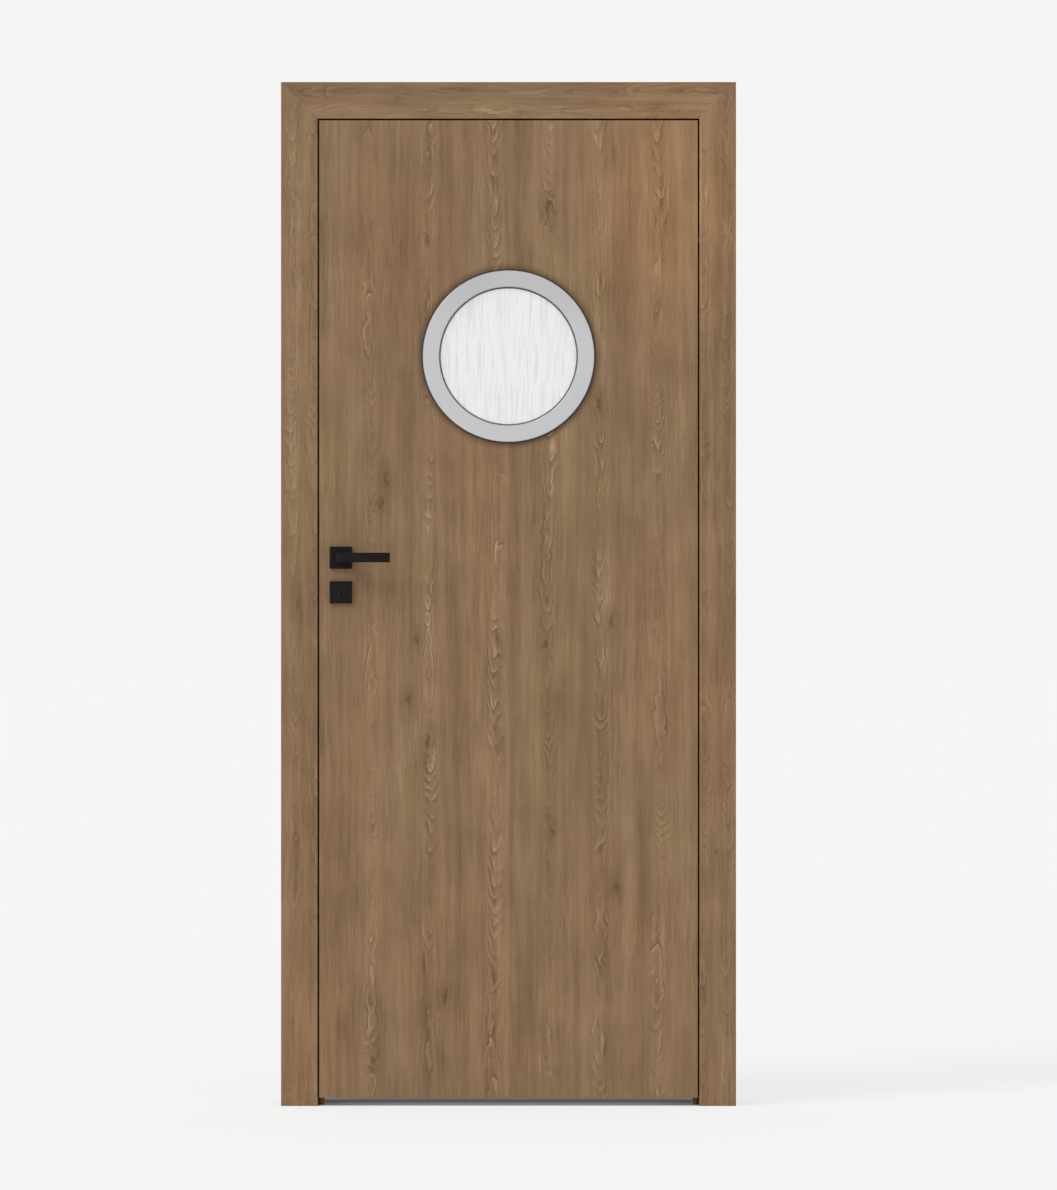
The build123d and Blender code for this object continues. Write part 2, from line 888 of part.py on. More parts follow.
def tubular_core(x_pair, z_pair):
    """Core board lightened by upright tubes, solid round the opening and the lock."""
    x0, x1 = x_pair
    core = block(x_pair, (skin_thickness, skin_back), z_pair)
    count = int((x1 - x0) // core_tube_pitch)
    first = (x0 + x1) / 2 - (count - 1) * core_tube_pitch / 2
    tubes = []
    for index in range(count):
        x = first + index * core_tube_pitch
        for low, high in tube_stretches(x, z_pair):
            place = Pos(x, front_y + leaf_middle, (low + high) / 2)
            tubes.append(place * Cylinder(core_tube_radius, high - low))
    return core - tubes


def front_skin(x_pair, z_pair):
    """Front facing of the leaf, with its shown edges eased."""
    board = block(x_pair, (0, skin_thickness), z_pair)
    return chamfer(board.faces().sort_by(Axis.Y)[0].edges(), skin_edge_chamfer)


def leaf_parts():
    """Nodes of the leaf board."""
    full_x = (-leaf_half, leaf_half)
    full_z = (floor_gap, leaf_top)
    inner_x = (-leaf_half + stile_width, leaf_half - stile_width)
    inner_z = (floor_gap + rail_height, leaf_top - rail_height)
    thick = (skin_thickness, skin_back)
    bores = leaf_bores()
    hinge_cuts = leaf_mortises() + wood_screw_holes(leaf_screw_places()[0])
    front = cut(front_skin(full_x, full_z), bores)
    return {
        "front_skin": front,
        "back_skin": mirror(front, about=leaf_mirror),
        "lock_stile": cut(block((full_x[0], inner_x[0]), thick, full_z), lock_cuts() + bores[1:]),
        "hinge_stile": cut(block((inner_x[1], full_x[1]), thick, full_z), hinge_cuts),
        "top_rail": cut(block(inner_x, thick, (inner_z[1], full_z[1])), bores),
        "bottom_rail": cut(block(inner_x, thick, (full_z[0], inner_z[0])), bores),
        "leaf_core": cut(tubular_core(inner_x, inner_z), lock_cuts()[:1] + bores),
    }


# Lock


def keyhole(depth_pair, grow):
    """Keyhole shape through a range of depths."""
    d0, d1 = depth_pair
    plane = Plane(origin=(handle_x, front_y + d0, key_height), x_dir=(1, 0, 0), z_dir=(0, 1, 0))
    slot_width = keyhole_slot_width + 2 * grow
    slot_length = keyhole_slot_length + grow
    slot = Pos(0, slot_length / 2) * Rectangle(slot_width, slot_length)
    return extrude(plane * (Circle(keyhole_radius + grow) + slot), d1 - d0)


def bolt_block(middle, sizes):
    """Plain latch or bolt, drawn in level with the forend."""
    height, thickness, length = sizes
    front = -leaf_half + bolt_set_back
    return block(
        (front, front + length),
        (leaf_middle - thickness / 2, leaf_middle + thickness / 2),
        (middle - height / 2, middle + height / 2),
    )


def bolt_windows(x_pair):
    """Openings of the forend and the case for the latch and the bolt."""
    grow = slide_clearance
    windows = []
    for middle, height, thickness in (
        (handle_height, latch_height, latch_thickness),
        (bolt_height_middle, bolt_height, bolt_thickness),
    ):
        half = thickness / 2 + grow
        rise = height / 2 + grow
        depth_pair = (leaf_middle - half, leaf_middle + half)
        windows.append(block(x_pair, depth_pair, (middle - rise, middle + rise)))
    return windows


def case_bores():
    """Holes through both sides of the case."""
    through = (case_front_depth, case_back_depth)
    collar = follower_collar_radius + running_clearance
    tools = [cross_bar(handle_x, handle_height, through, collar), keyhole(through, 0)]
    return tools + rose_bolt_bars(through, rose_bolt_bore_clearance)


def lock_case():
    """Folded case, open towards its cover."""
    open_depth = case_back_depth - case_wall
    outer = block((lock_front, case_back), (case_front_depth, open_depth), (case_low, case_high))
    inner = block(
        (lock_front + case_wall, case_back - case_wall),
        (case_front_depth + case_wall, open_depth),
        (case_low + case_wall, case_high - case_wall),
    )
    windows = bolt_windows((lock_front, lock_front + case_wall))
    return cut(outer, [inner, *windows, *case_bores()])


def lock_cover():
    """Flat cover over the open side of the case."""
    depth_pair = (case_back_depth - case_wall, case_back_depth)
    return cut(block((lock_front, case_back), depth_pair, (case_low, case_high)), case_bores())


def lock_forend():
    """Plate on the edge of the leaf with openings for the latch and the bolt."""
    windows = bolt_windows((-leaf_half, lock_front))
    return cut(forend_block(0), windows + wood_screw_holes(leaf_screw_places()[1]))


def lock_follower():
    """Hub turned by the spindle, carried by the collars in the case."""
    inner = (
        case_front_depth + case_wall + slide_clearance,
        case_back_depth - case_wall - slide_clearance,
    )
    collars = (case_front_depth, case_back_depth)
    hub = cross_bar(handle_x, handle_height, inner, follower_radius)
    hub = hub + cross_bar(handle_x, handle_height, collars, follower_collar_radius)
    return hub - spindle_bar(collars, fit_clearance)


def spindle_bar(depth_pair, clearance):
    """Square bar on the lever axis."""
    half = spindle_size / 2 + clearance
    x_pair = (handle_x - half, handle_x + half)
    return block(x_pair, depth_pair, (handle_height - half, handle_height + half))


def latch_bolt():
    """Latch with a rounded nose, drawn in level with the forend."""
    latch = bolt_block(handle_height, (latch_height, latch_thickness, latch_length))
    nose = latch.faces().sort_by(Axis.X)[0]
    return fillet(nose.edges().filter_by(Axis.Z), latch_nose_radius)


def lock_parts():
    """Nodes of the lock fixed to the leaf."""
    return {
        "lock_case": lock_case(),
        "lock_cover": lock_cover(),
        "lock_forend": lock_forend(),
    }


# Roses and levers


def rose_plane(height):
    """Place of a rose on the front face; local Z points at the viewer."""
    return Plane(origin=(handle_x, front_y, height), x_dir=(1, 0, 0), z_dir=(0, -1, 0))


def rose_cover(height):
    """Hollow square cover of a front rose."""
    body = extrude(RectangleRounded(rose_size, rose_size, rose_corner_radius), rose_depth)
    body = chamfer(body.faces().sort_by(Axis.Z)[-1].edges(), rose_edge_chamfer)
    room = rose_size - 2 * rose_wall
    body = body - extrude(Rectangle(room, room), rose_depth - rose_wall)
    return rose_plane(height) * body


def rose_base(height):
    """Square base of a front rose, with its bolt holes."""
    size = rose_size - 2 * rose_wall - 2 * rose_base_clearance
    base = rose_plane(height) * extrude(Rectangle(size, size), rose_base_thickness)
    return base


def hub_bar(clearance):
    """Round hub of the front lever."""
    far = rose_depth + lever_rose_gap
    radius = lever_hub_radius + clearance
    return cross_bar(handle_x, handle_height, (-far, -lever_hub_set_back), radius)


def rose_bore():
    """Hole of a handle rose for the lever hub."""
    radius = lever_hub_radius + lever_hub_clearance
    return cross_bar(handle_x, handle_height, (-rose_depth, 0), radius)


def rose_bolt_sizes():
    """Bolt from the back base into the front base."""
    return machine_screw_sizes(leaf_thickness + 2 * rose_base_thickness - rose_bolt_short)


def rose_bolt_places():
    """Places of the through bolts on the back bases."""
    depth = leaf_thickness + rose_base_thickness
    return [facing(handle_x, depth, z, (0, 1, 0)) for z in rose_bolt_heights()]


def rose_bases(height, bore):
    """Front and back base of one rose."""
    body = screw_body(rose_bolt_sizes(), machine_tip_length, fit_clearance)
    holes = [place * body for place in rose_bolt_places()]
    front = rose_base(height) - bore
    back = mirror(front, about=leaf_mirror)
    return group([cut(front, holes), cut(back, holes)])


def rose_parts():
    """Nodes of the roses."""
    handle_front = rose_cover(handle_height) - rose_bore()
    key_bore = keyhole((-rose_depth, 0), 0)
    key_front = rose_cover(key_height) - key_bore
    body = screw(rose_bolt_sizes(), machine_tip_length)
    return {
        "handle_rose_front": handle_front,
        "handle_rose_back": mirror(handle_front, about=leaf_mirror),
        "handle_rose_bases": rose_bases(handle_height, rose_bore()),
        "key_rose_front": key_front,
        "key_rose_back": mirror(key_front, about=leaf_mirror),
        "key_rose_bases": rose_bases(key_height, key_bore),
        "rose_bolts": group([place * body for place in rose_bolt_places()]),
    }


def lever():
    """Front lever: flat bar bent from a square neck, with a round hub and a square socket."""
    half = lever_neck_width / 2
    near = -rose_depth - lever_rose_gap
    bend = lever_thickness - lever_standoff
    points = [
        (-half, near),
        (half, near),
        (half, bend),
        (lever_reach, bend),
        (lever_reach, -lever_standoff),
        (-half, -lever_standoff),
    ]
    face = section(points)
    face = fillet(face.vertices().sort_by_distance((half, bend))[0], lever_inner_radius)
    face = fillet(face.vertices().sort_by_distance((-half, -lever_standoff))[0], lever_outer_radius)
    bar = extrude(Pos(0, 0, -lever_height / 2) * face, lever_height)
    edges = [e for e in bar.edges() if e.center().Y < near - lever_edge_radius]
    bar = fillet(edges, lever_edge_radius)
    bar = Pos(handle_x, front_y, handle_height) * bar
    return bar + hub_bar(0) - spindle_bar((-spindle_insert, 0), fit_clearance)


def handle_parts():
    """Nodes that turn with the levers."""
    front = lever()
    reach = spindle_insert - spindle_end_gap
    return {
        "lever_front": front,
        "lever_back": mirror(front, about=leaf_mirror),
        "spindle": spindle_bar((-reach, leaf_thickness + reach), 0),
        "lock_follower": lock_follower(),
    }


def leaf_fasteners():
    """Wood screws of the hinges and the forend."""
    places = leaf_screw_places()[0] + leaf_screw_places()[1]
    return {"leaf_wood_screws": group([p * screw(WOOD_SCREW, screw_tip_length) for p in places])}


def bolt_parts():
    """Nodes that slide out of the lock."""
    return {
        "latch_bolt": latch_bolt(),
        "dead_bolt": bolt_block(bolt_height_middle, (bolt_height, bolt_thickness, bolt_length)),
    }


def all_parts():
    """Every node of the door set."""
    parts = {}
    for made in (
        frame_parts(),
        leaf_parts(),
        porthole_parts(),
        lock_parts(),
        rose_parts(),
        leaf_fasteners(),
        leaf_hinge_parts(),
        hinge_moving_parts(),
        handle_parts(),
        bolt_parts(),
    ):
        parts.update(made)
    return parts


os.makedirs("parts", exist_ok=True)
for node, shape in all_parts().items():
    export_step(shape, f"parts/{node}.step")
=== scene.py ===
"""Dresses the interior door: wood decor, metal, glass and rubber, on a pale floor in soft light."""

import json
import math

import bmesh
import bpy
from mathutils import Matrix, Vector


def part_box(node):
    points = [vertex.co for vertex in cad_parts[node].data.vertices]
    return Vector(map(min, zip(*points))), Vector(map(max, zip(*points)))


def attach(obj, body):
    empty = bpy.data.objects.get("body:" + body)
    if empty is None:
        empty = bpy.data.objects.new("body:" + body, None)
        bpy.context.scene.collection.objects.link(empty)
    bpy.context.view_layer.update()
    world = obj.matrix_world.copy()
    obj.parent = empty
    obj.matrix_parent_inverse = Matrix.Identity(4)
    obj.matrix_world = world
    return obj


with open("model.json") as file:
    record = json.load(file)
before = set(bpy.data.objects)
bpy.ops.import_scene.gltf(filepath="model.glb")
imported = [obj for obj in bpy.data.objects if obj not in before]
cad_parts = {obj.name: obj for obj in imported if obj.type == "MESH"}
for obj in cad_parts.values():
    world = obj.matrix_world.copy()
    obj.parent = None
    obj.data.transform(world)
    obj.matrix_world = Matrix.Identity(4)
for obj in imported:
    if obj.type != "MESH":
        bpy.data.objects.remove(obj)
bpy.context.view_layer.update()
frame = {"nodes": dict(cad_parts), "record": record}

# Lengths and places are in metres.

# Places on the door, read from the frame.
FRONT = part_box("front_skin")[0].y
PASSAGE_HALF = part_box("jamb_hinge_side")[0].x
RING_LOW, RING_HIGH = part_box("porthole_front_ring")
RING_RADIUS = (RING_HIGH.x - RING_LOW.x) / 2
PORTHOLE_HEIGHT = (RING_HIGH.z + RING_LOW.z) / 2
KEY_AXIS = (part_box("key_rose_front")[0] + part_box("key_rose_back")[1]) / 2

# Nodes whose finish depends on more than their material slot.
LEAF_NODES = ("front_skin", "back_skin", "lock_stile", "hinge_stile", "top_rail", "bottom_rail")
GLAZING_NODES = ("porthole_front_gasket", "porthole_back_gasket")

# What the photograph frames at the door's face: its height, and the x and z of its middle.
VIEW_HEIGHT = 2.4712
VIEW_CENTRE = (0.0415, 1.0612)
CAMERA_DISTANCE = 12.0
SENSOR_MM = 36.0

# Key barrel inside the lock. Sizes are a round's radius, its lobe's half width and the lobe's reach.
BARREL_SIZES = (0.0086, 0.0070, 0.0124)
KEYWAY_SIZES = (0.0037, 0.0022, 0.0102)
BARREL_LENGTH = 0.0116
BARREL_WEB = 0.002
BARREL_CHAMFER = 0.0006
BARREL_POINTS = 96
SMALLEST_COSINE = 1e-6

# Noise layers of the decor: features per metre across and along the grain, and levels of detail.
WOOD_LAYERS = {
    "strand": (80.0, 3.2, 3.0),
    "stroke": (240.0, 15.0, 2.0),
    "fine": (700.0, 18.0, 2.0),
    "pore": (760.0, 22.0, 1.0),
    "band": (21.0, 0.9, 2.0),
    "cloud": (16.0, 8.0, 4.0),
    "lively": (11.0, 4.5, 2.0),
    "hue": (4.2, 2.0, 2.0),
}
GRAIN_BEND = (9.0, 5.0, 2.0)
COLUMN_WANDER = (1.5, 2.6, 2.0)
KNOT_RAGGED = (110.0, 60.0, 3.0)
KNOT_WARP = (30.0, 14.0, 2.0)
FLAME_DRIFT = (3.5, 1.6, 1.0)
FLAME_WAVER = (40.0, 24.0, 2.0)
FLAME_GROUP = (6.0, 5.5, 2.0)
FLAME_BREAK = (70.0, 22.0, 2.0)

# Tone of the decor from 0, dark, to 1, pale: its middle, the swing of each layer, and what marks add.
TONE_MIDDLE = 0.52
TONE_SWINGS = {"strand": 0.30, "fine": 0.10, "band": 0.32, "cloud": 0.27}
STROKE_SWING = 0.31
PORE_TONE = -0.07
MARK_TONES = {"light": 0.23, "dark": -0.22, "eye": -0.22, "halo": -0.10}

# Growth lines of the flame grain: lines per metre, and how many lines the noise and a knot move them.
LINES_ACROSS = 88.0
LINES_ALONG = -17.0
DRIFT_LINES = 22.0
WAVER_LINES = 1.9
KNOT_LINES = 1.6
TIP_ROUNDING = 0.00001

# Middles of the flame-grain columns, across each piece, and how strong the marks are on leaf and frame.
LEAF_COLUMNS = (-0.284, -0.160, -0.028, 0.080, 0.188, 0.310)
UPRIGHT_COLUMNS = (-0.446, -0.400, 0.402, 0.452)
HEAD_COLUMNS = (2.066, 2.108)
LEAF_FIGURE = 1.0
FRAME_FIGURE = 0.55

# Knots of the decor: place across the grain and along it. They are longer along the grain.
LEAF_KNOTS = (
    (0.080, 1.865),
    (-0.255, 1.296),
    (-0.268, 1.246),
    (0.188, 1.452),
    (-0.190, 0.972),
    (-0.211, 0.837),
    (-0.167, 0.758),
    (0.076, 0.960),
    (0.213, 1.000),
    (0.092, 0.571),
    (0.223, 0.451),
    (-0.132, 0.226),
    (-0.283, 0.091),
)
UPRIGHT_KNOTS = ((-0.437, 1.034), (-0.428, 1.742), (0.431, 0.523))
HEAD_KNOTS = ((2.092, -0.236), (2.074, 0.305))
KNOT_STRETCH = 0.45
FAR_AWAY = 1.0

# How far the grain moves across a piece for each metre of depth.
GRAIN_TURN = 0.83

# Warm patches of the decor: x, z, reach and weight. They reach further upright than sideways.
WARM_PLACES = ((0.33, 1.88, 0.22, 1.0), (-0.46, 0.14, 0.16, 0.5))
WARM_STRETCH = 0.6
WARM_CORE = 0.2

# Width of the painted shadow on the wood round the porthole ring.
RING_SHADOW_WIDTH = 0.019

# Light: the world's level as a lamp and as it is seen, and the sun's angles in degrees.
WORLD_LEVEL = 0.74
BACKDROP = 0.913
SUN_STRENGTH = 1.25
SUN_ANGLE = 24.0
SUN_HEADING = 53.0
SUN_HEIGHT = 38.0

# Floor: half its width, the level and share of the even glow on it, and how fast the shade puts it out.
FLOOR_HALF = 60.0
FLOOR_LEVEL = 0.929
FLOOR_GLOW = 0.74
GLOW_FALL = 3.0

# Painted shade on the floor behind the shut leaf: its end, how it fades behind and beside, and its front
# edge.
SHADE_END = 0.05
SHADE_FADE = 0.22
SHADE_SIDE = 0.07
SHADE_EDGE = 0.001
# Its grey levels, by the share of the way from the leaf's front to the end.
SHADE_STOPS = ((0.0, 1.0), (0.29, 0.78), (0.70, 0.38), (1.0, 0.22))
# How far and at what tilt in degrees it looks for the leaf, and the free shares between which it goes.
SHADE_REACH = 0.6
SHADE_TILT = 45.0
SHADE_OPEN = (0.56, 0.74)

WHITE = (1.0, 1.0, 1.0, 1.0)


def linear(*rgb):
    """Scene colour of an 8-bit display colour, by the sRGB curve."""
    shares = [value / 255 for value in rgb]
    levels = [v / 12.92 if v < 0.04045 else ((v + 0.055) / 1.055) ** 2.4 for v in shares]
    return (*levels, 1.0)


class Graph:
    """Node tree of one material or world, with short calls for its nodes."""

    # Sockets of a Mix node for colours.
    MIX_INPUTS = (0, 6, 7)
    MIX_RESULT = 2

    def __init__(self, owner):
        owner.use_nodes = True
        self.owner = owner
        self.tree = owner.node_tree
        self.tree.nodes.clear()

    def feed(self, socket, value):
        """Link a socket to an output, or set it."""
        if isinstance(value, bpy.types.NodeSocket):
            self.tree.links.new(value, socket)
        else:
            socket.default_value = value

    def add(self, kind, sockets=None, **settings):
        """A node with its settings and its inputs."""
        node = self.tree.nodes.new("ShaderNode" + kind)
        for key, value in settings.items():
            setattr(node, key, value)
        for key, value in (sockets or {}).items():
            self.feed(node.inputs[key], value)
        return node

    def math(self, operation, *values):
        """Result of a Math node."""
        node = self.add("Math", operation=operation)
        for socket, value in zip(node.inputs, values):
            self.feed(socket, value)
        return node.outputs[0]

    def total(self, *values):
        """Sum of several values."""
        result = values[0]
        for value in values[1:]:
            result = self.math("ADD", result, value)
        return result

    def scaled(self, value, factor):
        """A value times a factor."""
        return self.math("MULTIPLY", value, factor)

    def gap(self, value, other):
        """A value less another."""
        return self.math("SUBTRACT", value, other)

    def swing(self, value, amount):
        """A value from 0 to 1, made to swing about zero."""
        return self.scaled(self.gap(value, 0.5), amount)

    def lifted(self, value, lowest):
        """A value from 0 to 1, made to run from lowest to 1."""
        return self.total(self.scaled(value, 1.0 - lowest), lowest)

    def mixed(self, first, second, share):
        """A share of the first value, and the rest of the second."""
        return self.total(self.scaled(first, share), self.scaled(second, 1.0 - share))

    def reach(self, first, second):
        """Length of two distances at right angles."""
        squares = [self.math("POWER", value, 2.0) for value in (first, second)]
        return self.math("SQRT", self.total(*squares))

    def step(self, value, start, end):
        """Smooth rise from 0 at start to 1 at end."""
        sockets = {"Value": value, "From Min": start, "From Max": end}
        return self.add("MapRange", sockets, interpolation_type="SMOOTHSTEP").outputs["Result"]

    def coordinates(self):
        """Place on the piece as it stands shut."""
        return self.add("TexCoord").outputs["Object"]

    def place(self):
        """x, y and z on the piece as it stands shut."""
        return self.add("SeparateXYZ", {"Vector": self.coordinates()}).outputs

    def vector(self, x, y, z=0.0):
        """Vector of three values."""
        return self.add("CombineXYZ", {"X": x, "Y": y, "Z": z}).outputs[0]

    def grain(self, across, along, layer):
        """Flat noise of one layer: features per metre across and along, and levels of detail."""
        across_scale, along_scale, detail = layer
        vector = self.vector(self.scaled(across, across_scale), self.scaled(along, along_scale))
        sockets = {"Vector": vector, "Scale": 1.0, "Detail": detail}
        return self.add("TexNoise", sockets, noise_dimensions="2D").outputs["Fac"]

    def noise(self, scale, detail=2.0):
        """Noise through the piece, in features per metre."""
        sockets = {"Vector": self.coordinates(), "Scale": scale, "Detail": detail}
        return self.add("TexNoise", sockets).outputs["Fac"]

    def cells(self, scale):
        """One chance value for each cell through the piece, in cells per metre."""
        colour = self.add("TexVoronoi", {"Vector": self.coordinates(), "Scale": scale}).outputs["Color"]
        return self.add("SeparateColor", {"Color": colour}).outputs[0]

    def ramp(self, value, stops):
        """Colour along a ramp of (place, colour) stops."""
        node = self.add("ValToRGB", {"Fac": value})
        elements = node.color_ramp.elements
        while len(elements) < len(stops):
            elements.new(1.0)
        for element, (at, colour) in zip(elements, stops):
            element.position = at
            element.color = colour
        return node.outputs["Color"]

    def blend(self, share, first, second, mode="MIX"):
        """Two colours mixed."""
        node = self.add("Mix", data_type="RGBA", blend_type=mode)
        for socket, value in zip(self.MIX_INPUTS, (share, first, second)):
            self.feed(node.inputs[socket], value)
        return node.outputs[self.MIX_RESULT]

    def tinted(self, colour, share, tint):
        """A colour times a tint, as far as the share says."""
        return self.blend(share, colour, (*tint, 1.0), "MULTIPLY")

    def bump(self, height, depth, strength=1.0):
        """Normal from a height of 0 to 1, depth metres high."""
        sockets = {"Height": height, "Distance": depth, "Strength": strength}
        return self.add("Bump", sockets).outputs["Normal"]

    def surface(self, **sockets):
        """The piece's own surface."""
        named = {key.replace("_", " "): value for key, value in sockets.items()}
        shader = self.add("BsdfPrincipled", named)
        self.finish(shader.outputs[0])
        return self.owner

    def finish(self, shader):
        """Send a shader to the output."""
        self.add("OutputMaterial", {"Surface": shader})


def material(name):
    """A new material's graph."""
    return Graph(bpy.data.materials.new(name))


# Wood decor


def grain_axes(g, axes, across_axis, along_axis):
    """Place across the grain, which bends a little, and along it. The grain runs on over the edges."""
    along = axes[along_axis]
    depth = g.scaled(g.gap(axes["Y"], FRONT), GRAIN_TURN)
    straight = g.total(axes[across_axis], depth)
    bend = g.swing(g.grain(straight, along, GRAIN_BEND), amount=0.008)
    return g.total(straight, bend), along


def column_distance(g, across, along, columns):
    """Distance across the grain to the nearest flame column, which wanders a little."""
    line = g.total(across, g.swing(g.grain(across, along, COLUMN_WANDER), amount=0.028))
    nearest = FAR_AWAY
    for column in columns:
        nearest = g.math("MINIMUM", nearest, g.math("ABSOLUTE", g.gap(line, column)))
    return nearest


def knots(g, across, along, places):
    """Small knots at (across, along) places: a dark ragged eye and a soft halo."""
    ragged = g.swing(g.grain(across, along, KNOT_RAGGED), amount=0.014)
    warp = g.swing(g.grain(across, along, KNOT_WARP), amount=0.02)
    spot = g.vector(g.total(across, ragged), g.total(g.scaled(along, KNOT_STRETCH), ragged, warp))
    nearest = FAR_AWAY
    for at_across, at_along in places:
        centre = (at_across, KNOT_STRETCH * at_along, 0.0)
        distance = g.add("VectorMath", {0: spot, 1: centre}, operation="DISTANCE").outputs["Value"]
        nearest = g.math("MINIMUM", nearest, distance)
    eye = g.step(nearest, start=0.0075, end=0.0015)
    halo = g.step(nearest, start=0.03, end=0.004)
    return eye, halo


def flames(g, across, along, columns, halo):
    """Light and dark growth lines, nested in arches that come and go along the columns."""
    distance = column_distance(g, across, along, columns)
    tip = g.math("SQRT", g.total(g.math("POWER", distance, 2.0), TIP_ROUNDING))
    lines = g.total(
        g.scaled(tip, LINES_ACROSS),
        g.scaled(along, LINES_ALONG),
        g.swing(g.grain(across, along, FLAME_DRIFT), DRIFT_LINES),
        g.swing(g.grain(across, along, FLAME_WAVER), WAVER_LINES),
        g.scaled(halo, KNOT_LINES),
    )
    within = g.math("FRACT", lines)
    group = g.step(g.grain(across, along, FLAME_GROUP), start=0.40, end=0.58)
    whole = g.step(g.grain(across, along, FLAME_BREAK), start=0.36, end=0.62)
    column = g.scaled(g.step(distance, start=0.024, end=0.005), g.lifted(group, lowest=0.25))
    shown = g.scaled(column, g.lifted(whole, lowest=0.2))
    light = g.scaled(g.step(within, start=0.50, end=0.92), shown)
    dark = g.scaled(g.step(within, start=0.50, end=0.03), shown)
    return light, dark


def warm_places(g, axes):
    """Soft warm patches of the decor, where the photograph shows them."""
    shares = []
    for x, z, size, weight in WARM_PLACES:
        above = g.scaled(g.gap(axes["Z"], z), WARM_STRETCH)
        distance = g.reach(g.gap(axes["X"], x), above)
        shares.append(g.scaled(g.step(distance, start=size, end=WARM_CORE * size), weight))
    return g.math("MAXIMUM", *shares)


def ring_radius(g, axes):
    """Distance from the porthole's axis."""
    return g.reach(axes["X"], g.gap(axes["Z"], PORTHOLE_HEIGHT))


def wood_tone(g, layers, pore, marks, figure):
    """Tone of the decor from 0, dark, to 1, pale, with its marks as strong as figure."""
    lively = g.step(layers["lively"], start=0.42, end=0.64)
    stroke = g.scaled(g.swing(layers["stroke"], STROKE_SWING), g.lifted(lively, lowest=0.35))
    swings = [g.swing(layers[key], amount) for key, amount in TONE_SWINGS.items()]
    marked = [g.scaled(marks[key], share * figure) for key, share in MARK_TONES.items()]
    return g.total(TONE_MIDDLE, stroke, g.scaled(pore, PORE_TONE), *swings, *marked)


def wood_colour(g, axes, tone, hue):
    """Colour of the decor: browns by tone, cooler and warmer parts, and a painted shadow round the
    porthole.
    """
    stops = [
        (0.0, linear(82, 57, 36)),
        (0.34, linear(116, 89, 63)),
        (0.5, linear(133, 105, 77)),
        (0.66, linear(147, 119, 90)),
        (1.0, linear(183, 156, 126)),
    ]
    colour = g.ramp(tone, stops)
    cool = g.step(hue, start=0.48, end=0.30)
    warm = g.step(hue, start=0.52, end=0.70)
    # Painted shadow: the wood darkens towards the porthole ring, standing in for the ring's contact
    # shadow.
    ring_shadow = g.step(ring_radius(g, axes), start=RING_RADIUS + RING_SHADOW_WIDTH, end=RING_RADIUS)
    colour = g.tinted(colour, cool, tint=(0.985, 1.005, 0.97))
    colour = g.tinted(colour, warm, tint=(1.04, 1.0, 0.985))
    colour = g.tinted(colour, warm_places(g, axes), tint=(1.22, 1.13, 1.02))
    return g.tinted(colour, ring_shadow, tint=(0.52, 0.50, 0.50))


def wood(name, across_axis, along_axis, columns, places, figure):
    """Matt oak-grain decor with its grain along one axis, and its marks as strong as figure."""
    g = material(name)
    axes = g.place()
    across, along = grain_axes(g, axes, across_axis, along_axis)
    layers = {key: g.grain(across, along, layer) for key, layer in WOOD_LAYERS.items()}
    fine, stroke = layers["fine"], layers["stroke"]
    pore = g.step(layers["pore"], start=0.62, end=0.74)
    eye, halo = knots(g, across, along, places)
    light, dark = flames(g, across, along, columns, halo)
    marks = {"light": light, "dark": dark, "eye": eye, "halo": halo}
    tone = wood_tone(g, layers, pore, marks, figure)
    raised = g.total(g.scaled(fine, 0.5), g.scaled(stroke, 0.4))
    sunk = g.total(g.scaled(pore, 0.6), g.scaled(dark, 0.5))
    roughness = g.total(0.52, g.swing(stroke, amount=0.16), g.scaled(pore, 0.12))
    return g.surface(
        Base_Color=wood_colour(g, axes, tone, layers["hue"]),
        Roughness=roughness,
        Specular_IOR_Level=0.25,
        Normal=g.bump(g.gap(raised, sunk), depth=0.00025, strength=0.6),
    )


# Other materials


def chipboard():
    """Raw chipboard: pressed flakes of mixed tone."""
    g = material("chipboard")
    flake = g.cells(scale=420.0)
    tone = g.mixed(flake, g.noise(scale=60.0, detail=4.0), share=0.6)
    stops = [(0.1, linear(141, 107, 72)), (0.5, linear(176, 143, 104)), (0.9, linear(206, 178, 139))]
    relief = g.mixed(flake, g.noise(scale=900.0), share=0.6)
    return g.surface(
        Base_Color=g.ramp(tone, stops),
        Roughness=g.total(0.72, g.swing(flake, amount=0.16)),
        Normal=g.bump(relief, depth=0.0004),
    )


def ring_metal():
    """Satin anodised aluminium, turned: fine lines run round the porthole, and a painted shade darkens
    its top.
    """
    g = material("satin_aluminium")
    axes = g.place()
    up = g.gap(axes["Z"], PORTHOLE_HEIGHT)
    angle = g.math("ARCTAN2", up, axes["X"])
    turned = g.grain(ring_radius(g, axes), angle, layer=(2600.0, 1.2, 2.0))
    tone = g.mixed(turned, g.noise(scale=7.0), share=0.35)
    stops = [(0.35, linear(199, 203, 207)), (0.5, linear(207, 206, 206)), (0.65, linear(213, 209, 209))]
    # Painted shade: the ring's colour is darkened a touch towards its top.
    top = g.step(up, start=0.02, end=RING_RADIUS)
    return g.surface(
        Base_Color=g.tinted(g.ramp(tone, stops), top, tint=(0.87, 0.87, 0.88)),
        Metallic=0.85,
        Roughness=g.total(0.40, g.swing(turned, amount=0.14)),
        Normal=g.bump(turned, depth=0.00003, strength=0.5),
    )


